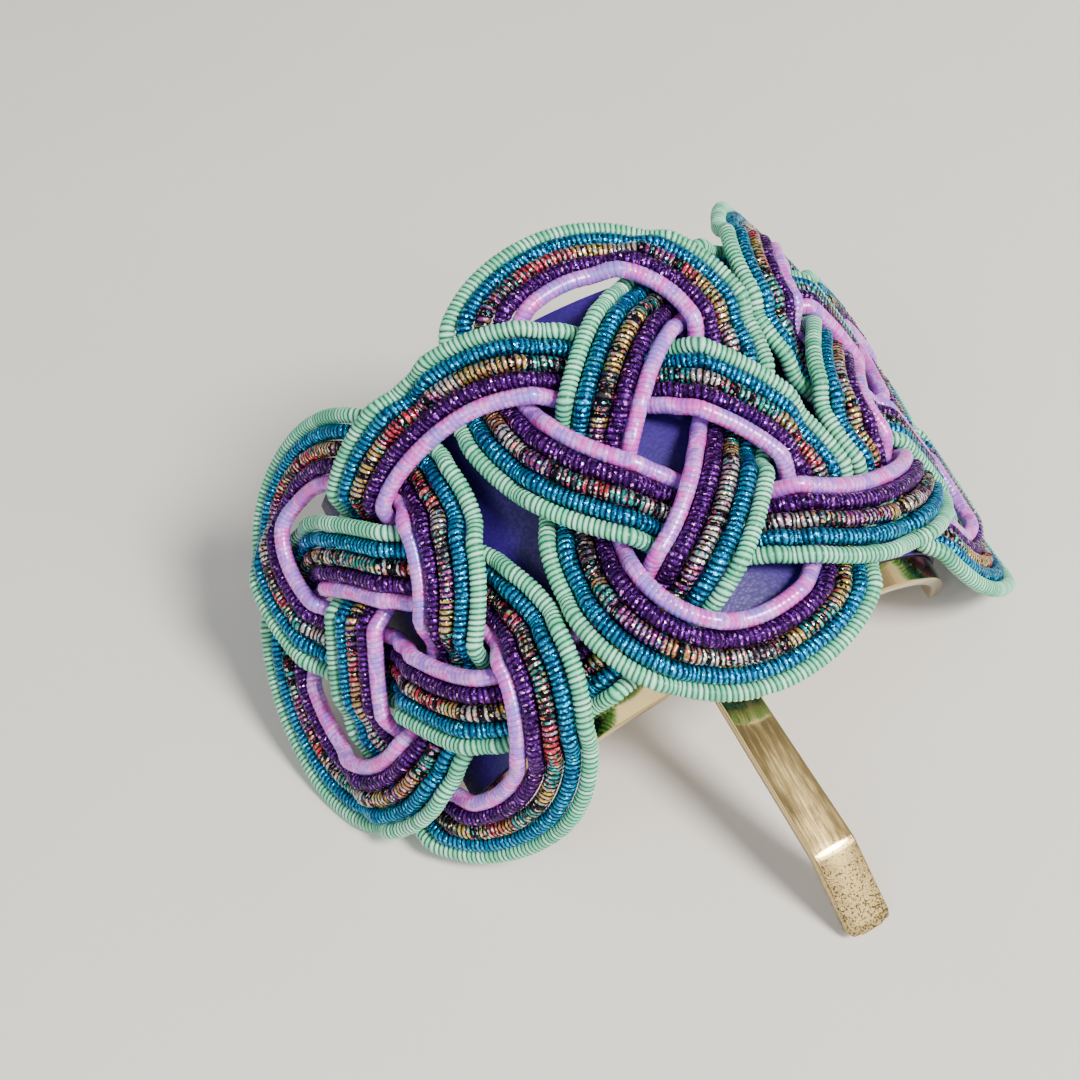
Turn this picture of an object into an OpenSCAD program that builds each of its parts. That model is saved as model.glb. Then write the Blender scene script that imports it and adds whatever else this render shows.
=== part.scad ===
// Ponytail hook: three flat knots of five paper cords on a curved gold plate with a hook at the back.
// Lengths in mm. The part lies as it comes to rest on a table: knots up, z = 0 is the table.
// Every sub-part is first made in the frame of the plate: x along the row of knots, y along the
// axis of the plate's curve with the hook's tip at the low end, z out through the middle knot.

/* [Cords] */
// thickness of one cord
cord_d = 0.8; // [0.6:0.01:0.82]
// distance from one cord of the band to the next
cord_pitch = 0.96; // [0.94:0.01:1]
// how far a cord lies above or below the middle where two bands cross
lift = 0.62; // [0.6:0.01:0.7]
// distance from the crossed band's middle within which a cord keeps its full lift
lift_near = 2.3; // [2.2:0.05:2.4]
// distance from the crossed band's middle beyond which a cord lies at the middle height
lift_far = 3.75; // [3.65:0.05:3.8]
// rings along one cord
cord_rings = 232; // [220:1:240]
// sides of a cord
cord_sides = 5; // [5:1:6]

/* [Curve of the row] */
// radius of the curve on which the middle of the cords lies
row_r = 18; // [17.8:0.1:24]
// length along the curve from the middle to where the row runs on straight
row_arc = 18.5; // [12:0.5:19]
// distance from the middle line at which the upper loops start to turn in
top_start = 6.3; // [5:0.1:9]
// curvature of the upper loops of the left and middle knot, one over the radius
top_curl = 0.053; // [0.045:0.001:0.06]
// curvature of the upper loops of the right knot
top_curl_right = 0.035; // [0.03:0.001:0.06]
// length along the curve at which the upper curl starts to change
ease_from = 8; // [7:0.5:10]
// length along the curve at which the upper curl has changed
ease_to = 15; // [14:0.5:18]
// distance from the middle line at which the lower loops start to turn in
low_start = 6.9; // [6.5:0.1:9]
// curvature of the lower loops of the left and middle knot
low_curl = 0.09; // [0.01:0.001:0.09]
// curvature of the lowest loop of the right knot, turned out a little
low_flare = -0.03; // [-0.05:0.001:-0.01]
// length along the curve at which the lower curl starts to change
flare_from = 12; // [10:0.5:14]
// length along the curve at which the lower curl has changed
flare_to = 24; // [20:0.5:26]

/* [Plate] */
// outer radius of the gold plate
plate_r = 15.9; // [15.5:0.05:15.9]
// thickness of the gold plate
plate_t = 0.8; // [0.6:0.05:1.2]
// half of the angle that the plate spans
plate_half_angle = 80; // [60:0.5:84]
// lower edge of the plate
plate_low = -11.8; // [-12.5:0.1:-11]
// upper edge of the plate
plate_top = 10.05; // [9:0.05:10.5]

/* [Covering] */
// air between the plate and the covering
cover_gap = 0.05; // [0.04:0.01:0.08]
// thickness of the covering
cover_t = 0.25; // [0.15:0.05:0.25]
// bare rim of the plate at its lower edge
cover_margin = 1.5; // [0.5:0.1:2]
// angle by which the covering stops short of the plate's ends
cover_short = 0.6; // [0.3:0.1:2]

/* [Hook] */
// left side of the flat bar behind the middle of the plate
bar_x = -3.18; // [-3.3:0.01:-2.5]
// angle by which the bar leans from the plate's axis
bar_lean = 1.95; // [0:0.05:2.5]
// width of the flat bar behind the plate
bar_w = 2.18; // [1.8:0.01:2.5]
// where the bar starts to grow wider
widen_from = -12; // [-14:0.5:-10]
// width of the flat bar at its tip
tip_w = 2.6; // [2.5:0.01:3]
// thickness of the flat bar
bar_t = 0.8; // [0.6:0.05:1]
// upper end of the foot that is soldered to the plate
foot_top = 9.5; // [8:0.1:9.8]
// lower end of the foot
foot_low = 5.5; // [5:0.1:6.5]
// height of the middle of the foot
foot_z = 14.8; // [14.75:0.01:14.9]
// upper end of the straight run behind the plate
run_top = 2; // [1:0.1:3]
// height of the middle of the run at its upper end
run_z = 11.6; // [11.3:0.1:12]
// lower end of the straight run, where the tip bends in
bend_y = -22.5; // [-23:0.1:-20]
// height of the middle of the run at the bend
bend_z = 11; // [10.8:0.1:11.6]
// lower end of the tip
tip_y = -27; // [-28:0.1:-26]
// height of the middle of the tip's end
tip_z = 9.23; // [9.22:0.01:10.5]
// radius of the tip's corners
tip_corner = 0.6; // [0.3:0.05:1]

/* [Rest] */
// angle that lifts the plate's upper edge off the table
rest_tilt = 27.87; // [27.87:0.01:27.87]
// small angle about the table's depth that sets both ends of the row down
rest_roll = 1.36; // [1.36:0.01:1.36]
// move along the table's width that centres the outline
rest_x = 0.06; // [0.06:0.01:0.06]
// move along the table's depth that centres the outline
rest_y = 8.81; // [8.81:0.01:8.81]
// lift that sets the lowest points on the table
rest_z = 4.68; // [4.68:0.01:4.68]

/* [Hidden] */
$fn = 96;
gold = "#c9a24e";
navy = "#1d1f5e";
mint = "#a9cdb6";
blue = "#1686b4";
multi = "#b08f62";
purple = "#4a2478";
lavender = "#c79fd6";

// half of the route of the band's middle cord: [along the curve, up the axis];
// the other half is the same route turned by half a turn
route = [
  [13.3, -8], [11.2, -8.3], [9.2, -8.4], [7.2, -8.2], [5.3, -7.6], [3.4, -6.7], [1.2, -5.6],
  [-0.7, -4.5], [-2.5, -3.1], [-4, -1.6], [-5.3, -0.1], [-6.4, 1.6], [-7.2, 3.4], [-7.6, 5.3],
  [-7.7, 7.2], [-7.2, 9], [-6, 10.7], [-4.3, 11.9], [-2.2, 12.5], [0, 12.7], [2.2, 12.3],
  [4.2, 11.2], [5.7, 9.5], [6.6, 7.5], [6.9, 5.5], [6.8, 3.6], [6.2, 1.8], [5.2, 0.2],
  [4, -1], [2.8, -2.3], [1.6, -3.7], [0.3, -5.1], [-1.1, -6.3], [-2.7, -7.3], [-4.5, -8.1],
  [-6.4, -8.5], [-8.4, -8.6], [-10.4, -8.8], [-12.4, -8.7], [-14.5, -8.5], [-16.2, -7.7], [-17.8, -6.5],
  [-19.2, -5.1], [-20.4, -3.6], [-21.8, -2.3], [-23.3, -0.9], [-24.8, 0.6], [-26.1, 2.4], [-26.9, 4.4],
  [-27.2, 6.5], [-26.9, 8.7], [-25.8, 10.6], [-23.9, 11.7], [-21.7, 11.9], [-19.6, 11.4], [-17.7, 10.5],
  [-16, 9.3], [-14.6, 7.9], [-13.5, 6.3], [-12.9, 4.5], [-12.8, 2.6], [-13.3, 0.8], [-14.1, -1],
  [-15.3, -2.6], [-16.7, -4], [-18.3, -5.3], [-20, -6.5], [-21.9, -7.4], [-24, -8], [-26.3, -7.9],
  [-28.5, -7.2], [-30.2, -5.7], [-31.2, -3.7], [-31.4, -1.5], [-31.2, 0.6], [-30.5, 2.7], [-29.3, 4.6],
  [-27.7, 6.1], [-25.7, 6.9], [-23.6, 6.7], [-21.8, 5.8], [-20.2, 4.7], [-18.7, 3.5], [-17.3, 2.2],
  [-15.7, 1], [-14.3, -0.4], [-13, -1.9], [-12, -3.8], [-11.6, -5.9], [-11.8, -8], [-12.8, -10],
  [-14.2, -11.8], [-16.1, -12.9], [-18.2, -13.4], [-20.4, -13.4], [-22.6, -12.8], [-24.4, -11.5],
  [-25.6, -9.7], [-26.2, -7.7], [-26.3, -5.8], [-25.8, -4], [-25, -2.4], [-24, -0.9], [-22.9, 0.5],
  [-21.8, 1.9], [-20.6, 3.3], [-19.4, 4.6], [-18.1, 5.8], [-16.7, 6.7], [-15.1, 7.5]
];
// places where the band crosses itself, counted in points of the route: [pass above, pass below];
// each is met again half a turn on
crossings = [
  [2.9, 124.5], [31, 6.5], [9.9, 137], [22.5, 144.9], [89.4, 37.9], [41.7, 65.2],
  [102.3, 45.3], [48.9, 77.3], [109.3, 57.1], [61.9, 85.2], [68.9, 97.9], [81.4, 105.8]
];
half_count = len(route);
full_count = 2 * half_count;
// small differences of the right knot from the turned half: [point, points over which it fades,
// shift along the curve and up the axis]
shifts = [
  [202, 4, [0.9, -0.3]], [195, 3, [-0.8, 0]], [171.5, 4, [-0.9, 0]], [174.5, 4, [0.3, -0.5]],
  [150, 5, [0, -0.6]]
];
// points of the route before and after a crossing that can still feel it
reach = 4.5;
// points of the crossed pass looked at on each side of the crossing, and their step
look = 3.5;
look_step = 0.5;
// a curvature too small to divide by
least_curl = 0.00001;
// how far a cutting shape reaches past what it cuts
past = 1;

function clamp(x, low, high) = max(low, min(high, x));
function wrapped(i) = (i % full_count + full_count) % full_count;
function fade(d, far) = d < far ? (1 + cos(180 * d / far)) / 2 : 0;
function shifted(j, i = 0) =
  i == len(shifts) ? [0, 0] : fade(abs(j - shifts[i][0]), shifts[i][1]) * shifts[i][2] + shifted(j, i + 1);
full_route = [for (j = [0 : full_count - 1])
  (j < half_count ? route[j] : -route[j - half_count]) + shifted(j)];
function route_point(i) = full_route[wrapped(i)];

// smooth closed curve through the neighbourhood of the route's points, and its direction
function curve(t) =
  let (i = floor(t), f = t - i, g = 1 - f)
  (g * g * g * route_point(i - 1) + (3 * f * f * f - 6 * f * f + 4) * route_point(i)
  + (-3 * f * f * f + 3 * f * f + 3 * f + 1) * route_point(i + 1) + f * f * f * route_point(i + 2)) / 6;
function curve_dir(t) =
  let (i = floor(t), f = t - i, g = 1 - f,
    d = -g * g * route_point(i - 1) + (3 * f * f - 4 * f) * route_point(i)
    + (-3 * f * f + 2 * f + 1) * route_point(i + 1) + f * f * route_point(i + 2))
  d / norm(d);

// share of the full lift at a distance from the crossed band's middle
function lift_share(w) = let (x = clamp((lift_far - w) / (lift_far - lift_near), 0, 1)) x * x * (3 - 2 * x);
function apart(t, at) = let (d = abs(wrapped(t - at))) min(d, full_count - d);
function distance_to_pass(p, at) = min([for (k = [-look : look_step : look]) norm(p - curve(at + k))]);
function pull(t, p, mine, other, side) =
  apart(t, mine) < reach ? side * lift_share(distance_to_pass(p, other)) : 0;
function sum(list, i = 0) = i == len(list) ? 0 : list[i] + sum(list, i + 1);
function height(t, p) =
  lift * clamp(sum([for (turn = [0, half_count]) for (c = crossings)
    pull(t, p, c[0] + turn, c[1] + turn, 1) + pull(t, p, c[1] + turn, c[0] + turn, -1)]), -1, 1);

// a point at length u along the row, v up the axis and h out from the cords' middle
function part_way(u, from, to) = clamp((u - from) / (to - from), 0, 1);
function low_bend(u) =
  let (k = low_curl + (low_flare - low_curl) * part_way(u, flare_from, flare_to))
  abs(k) < least_curl ? least_curl : k;
function top_bend(u) = top_curl + (top_curl_right - top_curl) * part_way(u, ease_from, ease_to);
function on_row(u, v, h) =
  let (c = clamp(u, -row_arc, row_arc), e = u - c, a = c / row_r * 180 / PI, j = top_bend(u), k = low_bend(u),
    ta = max(v - top_start, 0) * j * 180 / PI, tb = max(-v - low_start, 0) * k * 180 / PI,
    y = clamp(v, -low_start, top_start) + sin(ta) / j - sin(tb) / k + h * (sin(ta) - sin(tb)),
    out = h * cos(ta) * cos(tb) - (1 - cos(ta)) / j - (1 - cos(tb)) / k)
  [(row_r + out) * sin(a) + e * cos(a), y, (row_r + out) * cos(a) - e * sin(a)];

function flat_point(t, side) = let (d = curve_dir(t)) curve(t) + side * cord_pitch * [d[1], -d[0]];
function ring(t, side, ahead, behind) =
  let (p = flat_point(t, side), h = height(t, p), c = on_row(p[0], p[1], h),
    along = (ahead - behind) / norm(ahead - behind), out0 = on_row(p[0], p[1], h + 1) - c,
    out1 = out0 - (out0 * along) * along, out = out1 / norm(out1), across = cross(along, out))
  [for (k = [0 : cord_sides - 1]) let (a = 360 * k / cord_sides)
    c + cord_d / 2 * (cos(a) * out + sin(a) * across)];

// one closed cord of the band; side counts cords from the middle one, lavender at +2
module cord(side) {
  step = full_count / cord_rings;
  // each ring sits at the middle of its step along the route
  places = [for (i = [0 : cord_rings - 1]) (i + 0.5) * step];
  middles = [for (t = places) let (p = flat_point(t, side)) on_row(p[0], p[1], height(t, p))];
  rings = [for (i = [0 : cord_rings - 1])
    ring(places[i], side, middles[(i + 1) % cord_rings], middles[(i + cord_rings - 1) % cord_rings])];
  points = [for (r = rings) for (p = r) p];
  faces = [for (i = [0 : cord_rings - 1]) for (k = [0 : cord_sides - 1])
    let (m = (k + 1) % cord_sides, j = (i + 1) % cord_rings,
      a = i * cord_sides + k, b = i * cord_sides + m, c = j * cord_sides + m, d = j * cord_sides + k)
    for (f = [[a, c, b], [a, d, c]]) f];
  polyhedron(points = points, faces = faces);
}

// a bent sheet about the y axis
module bent_sheet(r, t, low, top, half_angle) {
  far = 3 * r;
  rotate([-90, 0, 0]) translate([0, 0, low])
  intersection() {
    difference() {
      cylinder(r = r, h = top - low);
      translate([0, 0, -past]) cylinder(r = r - t, h = top - low + 2 * past);
    }
    linear_extrude(top - low)
    polygon([[0, 0], [-far * sin(half_angle), -far * cos(half_angle)], [0, -2 * far],
      [far * sin(half_angle), -far * cos(half_angle)]]);
  }
}

// the bar's own frame has its left side at x = 0 and leans as the bar does
// one straight length of a flat bar between two points [y, z] of its middle
module strip(from, to) {
  translate([0, from[0], from[1]]) rotate([atan2(to[1] - from[1], to[0] - from[0]), 0, 0])
  translate([0, 0, -bar_t / 2]) cube([tip_w, norm(to - from), bar_t]);
}
// the round outside of a bend
module knee(at) {
  translate([0, at[0], at[1]]) rotate([0, 90, 0]) cylinder(d = bar_t, h = tip_w);
}
// the last length with its two rounded corners
module tip(from, to) {
  long = norm(to - from);
  translate([0, from[0], from[1]]) rotate([atan2(to[1] - from[1], to[0] - from[0]), 0, 0])
  translate([0, 0, -bar_t / 2]) {
    cube([tip_w, long - tip_corner, bar_t]);
    translate([tip_corner, 0, 0]) cube([tip_w - 2 * tip_corner, long, bar_t]);
    for (x = [tip_corner, tip_w - tip_corner])
      translate([x, long - tip_corner, 0]) cylinder(r = tip_corner, h = bar_t);
  }
}
// the bar: a foot on the plate, a step away from it, a long run that grows wider, and the tip
module hook_bar() {
  foot_a = [foot_top, foot_z];
  foot_b = [foot_low, foot_z];
  run_a = [run_top, run_z];
  run_b = [bend_y, bend_z];
  intersection() {
    union() {
      strip(foot_a, foot_b);
      knee(foot_b);
      strip(foot_b, run_a);
      knee(run_a);
      strip(run_a, run_b);
    }
    linear_extrude(foot_z + past)
    polygon([[0, foot_top + past], [0, bend_y - past], [tip_w, bend_y - past], [tip_w, bend_y],
      [bar_w, widen_from], [bar_w, foot_top + past]]);
  }
  knee(run_b);
  tip(run_b, [tip_y, tip_z]);
}

module at_rest() {
  translate([rest_x, rest_y, rest_z]) rotate([rest_tilt, rest_roll, 0]) children();
}

module cuff_hook() {
  color(gold) at_rest() union() {
    bent_sheet(plate_r, plate_t, plate_low, plate_top, plate_half_angle);
    translate([bar_x, 0, 0]) rotate([0, 0, bar_lean]) hook_bar();
  }
}
module covering() {
  color(navy) at_rest()
    bent_sheet(plate_r + cover_gap + cover_t, cover_t, plate_low + cover_margin, plate_top,
      plate_half_angle - cover_short);
}
module mint_cord() {
  color(mint) at_rest() cord(-2);
}
module blue_cord() {
  color(blue) at_rest() cord(-1);
}
module multi_cord() {
  color(multi) at_rest() cord(0);
}
module purple_cord() {
  color(purple) at_rest() cord(1);
}
module lavender_cord() {
  color(lavender) at_rest() cord(2);
}

cuff_hook();
covering();
mint_cord();
blue_cord();
multi_cord();
purple_cord();
lavender_cord();
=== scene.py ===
# A ponytail hook dressed for its picture: five wrapped paper cords tied into three flat knots in a
# row, glued on a curved gold plate with a navy covering and a flat hook behind it.
# Each piece is first made in the frame of the plate, in millimetres: x along the row of knots,
# y along the axis of the plate's curve with the hook's tip at the low end, z out through the
# middle knot. lay_down then brings it to where it rests on the table, in metres.
import math

import bmesh
import bpy
import numpy as np
from bpy.props import FloatProperty, FloatVectorProperty, IntProperty, PointerProperty
from bpy.types import Operator, Panel, PropertyGroup
from mathutils import Matrix, Vector


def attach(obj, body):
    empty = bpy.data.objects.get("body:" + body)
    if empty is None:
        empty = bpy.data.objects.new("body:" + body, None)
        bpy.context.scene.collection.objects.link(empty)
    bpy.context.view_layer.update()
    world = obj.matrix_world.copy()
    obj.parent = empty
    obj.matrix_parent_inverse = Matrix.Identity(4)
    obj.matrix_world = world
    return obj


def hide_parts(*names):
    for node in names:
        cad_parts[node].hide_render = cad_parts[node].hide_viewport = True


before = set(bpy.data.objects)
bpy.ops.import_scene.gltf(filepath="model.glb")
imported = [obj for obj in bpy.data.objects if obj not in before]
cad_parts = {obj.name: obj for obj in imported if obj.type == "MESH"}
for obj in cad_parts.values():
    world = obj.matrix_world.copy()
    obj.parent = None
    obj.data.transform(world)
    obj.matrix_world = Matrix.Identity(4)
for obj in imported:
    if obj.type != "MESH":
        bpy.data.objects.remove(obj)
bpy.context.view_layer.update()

bl_info = {
    "name": "Ponytail hook of knotted cords",
    "version": (1, 0, 0),
    "blender": (4, 5, 0),
    "location": "3D View > Sidebar > Ponytail hook",
    "description": "Makes the cords, the gold hook, its covering and the studio of a ponytail hook",
    "category": "Add Mesh",
}

# one millimetre in metres
MM = 0.001

# how the part lies on the table: tipped back, rolled a little, then moved, in degrees and millimetres
REST_TILT, REST_ROLL = 27.87, 1.36
REST_MOVE = (0.06, 8.81, 4.68)
REST = (
    Matrix.Translation(REST_MOVE)
    @ Matrix.Rotation(math.radians(REST_ROLL), 4, "Y")
    @ Matrix.Rotation(math.radians(REST_TILT), 4, "X")
)

# half of the route of the band's middle cord: along the row's curve and up the axis, in millimetres;
# the other half is the same route turned by half a turn
HALF_ROUTE = [
    (13.3, -8), (11.2, -8.3), (9.2, -8.4), (7.2, -8.2), (5.3, -7.6), (3.4, -6.7), (1.2, -5.6),
    (-0.7, -4.5), (-2.5, -3.1), (-4, -1.6), (-5.3, -0.1), (-6.4, 1.6), (-7.2, 3.4), (-7.6, 5.3),
    (-7.7, 7.2), (-7.2, 9), (-6, 10.7), (-4.3, 11.9), (-2.2, 12.5), (0, 12.7), (2.2, 12.3),
    (4.2, 11.2), (5.7, 9.5), (6.6, 7.5), (6.9, 5.5), (6.8, 3.6), (6.2, 1.8), (5.2, 0.2),
    (4, -1), (2.8, -2.3), (1.6, -3.7), (0.3, -5.1), (-1.1, -6.3), (-2.7, -7.3), (-4.5, -8.1),
    (-6.4, -8.5), (-8.4, -8.6), (-10.4, -8.8), (-12.4, -8.7), (-14.5, -8.5), (-16.2, -7.7), (-17.8, -6.5),
    (-19.2, -5.1), (-20.4, -3.6), (-21.8, -2.3), (-23.3, -0.9), (-24.8, 0.6), (-26.1, 2.4), (-26.9, 4.4),
    (-27.2, 6.5), (-26.9, 8.7), (-25.8, 10.6), (-23.9, 11.7), (-21.7, 11.9), (-19.6, 11.4), (-17.7, 10.5),
    (-16, 9.3), (-14.6, 7.9), (-13.5, 6.3), (-12.9, 4.5), (-12.8, 2.6), (-13.3, 0.8), (-14.1, -1),
    (-15.3, -2.6), (-16.7, -4), (-18.3, -5.3), (-20, -6.5), (-21.9, -7.4), (-24, -8), (-26.3, -7.9),
    (-28.5, -7.2), (-30.2, -5.7), (-31.2, -3.7), (-31.4, -1.5), (-31.2, 0.6), (-30.5, 2.7), (-29.3, 4.6),
    (-27.7, 6.1), (-25.7, 6.9), (-23.6, 6.7), (-21.8, 5.8), (-20.2, 4.7), (-18.7, 3.5), (-17.3, 2.2),
    (-15.7, 1), (-14.3, -0.4), (-13, -1.9), (-12, -3.8), (-11.6, -5.9), (-11.8, -8), (-12.8, -10),
    (-14.2, -11.8), (-16.1, -12.9), (-18.2, -13.4), (-20.4, -13.4), (-22.6, -12.8), (-24.4, -11.5),
    (-25.6, -9.7), (-26.2, -7.7), (-26.3, -5.8), (-25.8, -4), (-25, -2.4), (-24, -0.9), (-22.9, 0.5),
    (-21.8, 1.9), (-20.6, 3.3), (-19.4, 4.6), (-18.1, 5.8), (-16.7, 6.7), (-15.1, 7.5),
]
# where the band crosses itself, counted in points of the route: pass above, pass below
CROSSINGS = [
    (2.9, 124.5), (31, 6.5), (9.9, 137), (22.5, 144.9), (89.4, 37.9), (41.7, 65.2),
    (102.3, 45.3), (48.9, 77.3), (109.3, 57.1), (61.9, 85.2), (68.9, 97.9), (81.4, 105.8),
]
HALF_COUNT, FULL_COUNT = len(HALF_ROUTE), 2 * len(HALF_ROUTE)
# small differences of the right knot from the turned half: point, points over which it fades, shift
SHIFTS = [
    (202, 4, (0.9, -0.3)), (195, 3, (-0.8, 0)), (171.5, 4, (-0.9, 0)), (174.5, 4, (0.3, -0.5)),
    (150, 5, (0, -0.6)),
]
# how far a cord lies above or below the middle where two bands cross, and the distances from the
# crossed band's middle between which that fades
LIFT, LIFT_NEAR, LIFT_FAR = 0.62, 2.3, 3.75
# radius of the row's curve, and the length along it from the middle to where it runs on straight
ROW_R, ROW_ARC = 18, 18.5
# where the upper loops start to turn in, their curvature on the left and on the right, and the
# lengths along the row between which it changes; then the same for the lower loops
TOP_START, TOP_CURL, TOP_CURL_RIGHT = 6.3, 0.053, 0.035
EASE_FROM, EASE_TO = 8, 15
LOW_START, LOW_CURL, LOW_FLARE = 6.9, 0.09, -0.03
FLARE_FROM, FLARE_TO = 12, 24
# a curvature too small to divide by
LEAST_CURL = 1e-5
# points of the route over which a crossing is felt, and the points looked at on the crossed pass
REACH = 4.5
LOOK = np.arange(-3.5, 3.51, 0.5)
# steps along the whole route at which a cord's line is worked out
ROUTE_STEPS = 13200

# unevenness of the wrapping: seed of its random draws, how sharply a rib rounds off, share by which
# a groove's depth varies, and how much thicker or thinner a rib is, in millimetres
WRAP_SEED, RIB_ROUNDNESS, GROOVE_VARIES, RIB_VARIES = 7, 0.7, 0.25, 0.006

# lower and upper edge of the plate, half of the angle it spans, and the steps drawn along it
PLATE_LOW, PLATE_TOP, PLATE_HALF_ANGLE, SHEET_STEPS = -11.8, 10.05, 80, 129
# middle of the bar's thickness from its foot to its tip: up the axis and out; and its bends' radius
BAR_LINE = [(9.5, 14.8), (5.5, 14.8), (2, 11.6), (-22.5, 11), (-27, 9.23)]
BEND_RADIUS = 1.1
# the bar's left side, the lengths below the middle between which it widens, and its corners' radius
BAR_LEFT, WIDENS, TIP_CORNER = -3.18, (12, 22.5), 0.6
# the covering: height of its outer side over the plate, thickness, lower edge, half angle, rounding
COVER_OVER, COVER_THICK, COVER_LOW, COVER_HALF_ANGLE, COVER_EDGE = 0.3, 0.25, -10.3, 79.4, 0.1

# the camera, fitted to the photograph: lens for a sensor 36 mm wide, place in millimetres,
# and its right and up directions
LENS, SENSOR = 56.24, 36
CAMERA_PLACE = (-26.73, -59.97, 81.23)
CAMERA_RIGHT, CAMERA_UP = (0.8767, -0.4516, -0.1660), (0.4313, 0.5849, 0.6869)
# the point in the part at which the lights are aimed, in metres
LIT_POINT = (0, 0, 0.012)


def whole_route():
    """All points of the route, with the right knot's own shifts."""
    points = np.vstack([np.array(HALF_ROUTE), -np.array(HALF_ROUTE)])
    for at, fades, shift in SHIFTS:
        share = np.clip(np.abs(np.arange(FULL_COUNT) - at) / fades, 0, 1)
        points += ((1 + np.cos(math.pi * share)) / 2)[:, None] * np.array(shift)
    return points


ROUTE = whole_route()


def curve(t):
    """Points of the band's middle line on the unrolled row, and its directions."""
    i = np.floor(t).astype(int)
    f = (t - i)[:, None]
    g = 1 - f
    a, b, c, d = (ROUTE[(i + k) % FULL_COUNT] for k in (-1, 0, 1, 2))
    place = (g**3 * a + (3 * f**3 - 6 * f**2 + 4) * b + (-3 * f**3 + 3 * f**2 + 3 * f + 1) * c + f**3 * d) / 6
    way = -g * g * a + (3 * f * f - 4 * f) * b + (-3 * f * f + 2 * f + 1) * c + f * f * d
    return place, way / np.linalg.norm(way, axis=1)[:, None]


def heights(t, places):
    """How far the band lies above or below its middle height where it crosses itself."""
    total = np.zeros(len(t))
    for turn in (0, HALF_COUNT):
        for above, below in CROSSINGS:
            for mine, other, side in ((above, below, 1), (below, above, -1)):
                apart = (t - mine - turn) % FULL_COUNT
                felt = np.minimum(apart, FULL_COUNT - apart) < REACH
                crossed = curve((other + turn + LOOK) % FULL_COUNT)[0]
                gaps = np.linalg.norm(places[felt][:, None, :] - crossed[None], axis=2).min(axis=1)
                x = np.clip((LIFT_FAR - gaps) / (LIFT_FAR - LIFT_NEAR), 0, 1)
                total[felt] += side * x * x * (3 - 2 * x)
    return LIFT * np.clip(total, -1, 1)


def on_row(u, v, h):
    """The point at length u along the row, v up the axis and h out from the cords' middle."""
    c = np.clip(u, -ROW_ARC, ROW_ARC)
    e, a = u - c, c / ROW_R
    j = TOP_CURL + (TOP_CURL_RIGHT - TOP_CURL) * np.clip((u - EASE_FROM) / (EASE_TO - EASE_FROM), 0, 1)
    k = LOW_CURL + (LOW_FLARE - LOW_CURL) * np.clip((u - FLARE_FROM) / (FLARE_TO - FLARE_FROM), 0, 1)
    k = np.where(np.abs(k) < LEAST_CURL, LEAST_CURL, k)
    ta = np.maximum(v - TOP_START, 0) * j
    tb = np.maximum(-v - LOW_START, 0) * k
    y = np.clip(v, -LOW_START, TOP_START) + np.sin(ta) / j - np.sin(tb) / k
    y = y + h * (np.sin(ta) - np.sin(tb))
    out = h * np.cos(ta) * np.cos(tb) - (1 - np.cos(ta)) / j - (1 - np.cos(tb)) / k
    r = ROW_R + out
    return np.stack([r * np.sin(a) + e * np.cos(a), y, r * np.cos(a) - e * np.sin(a)], axis=1)


def cord_line(side, spacing):
    """One cord's middle line, its outward and sideways directions, and the length reached at each point."""
    t = np.arange(ROUTE_STEPS) * FULL_COUNT / ROUTE_STEPS
    places, ways = curve(t)
    flat = places + side * spacing * np.stack([ways[:, 1], -ways[:, 0]], axis=1)
    h = heights(t, flat)
    middle = on_row(flat[:, 0], flat[:, 1], h)
    along = np.roll(middle, -1, axis=0) - np.roll(middle, 1, axis=0)
    along /= np.linalg.norm(along, axis=1)[:, None]
    out = on_row(flat[:, 0], flat[:, 1], h + 1) - middle
    out -= (out * along).sum(axis=1)[:, None] * along
    out /= np.linalg.norm(out, axis=1)[:, None]
    steps = np.linalg.norm(np.roll(middle, -1, axis=0) - middle, axis=1)
    return middle, out, np.cross(along, out), np.concatenate([[0], np.cumsum(steps)])


def lay_down(points):
    """Points in the frame of the plate, in millimetres, brought to the table, in metres."""
    turn = np.array(REST.to_3x3())
    return (points @ turn.T + np.array(REST.translation)) * MM


def piece_from(name, points, faces, nodes):
    """A mesh object made from points in the row's frame that stands for CAD nodes, which it hides."""
    mesh = bpy.data.meshes.new(name)
    mesh.from_pydata(lay_down(np.asarray(points, float)).tolist(), [], faces)
    mesh.validate()
    mesh.shade_smooth()
    obj = bpy.data.objects.new(name, mesh)
    bpy.context.scene.collection.objects.link(obj)
    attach(obj, "root")
    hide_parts(*nodes)
    return obj


def face_outwards(mesh):
    """Turns all faces of a closed mesh to the outside."""
    bm = bmesh.new()
    bm.from_mesh(mesh)
    bmesh.ops.recalc_face_normals(bm, faces=bm.faces)
    bm.to_mesh(mesh)
    bm.free()


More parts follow.
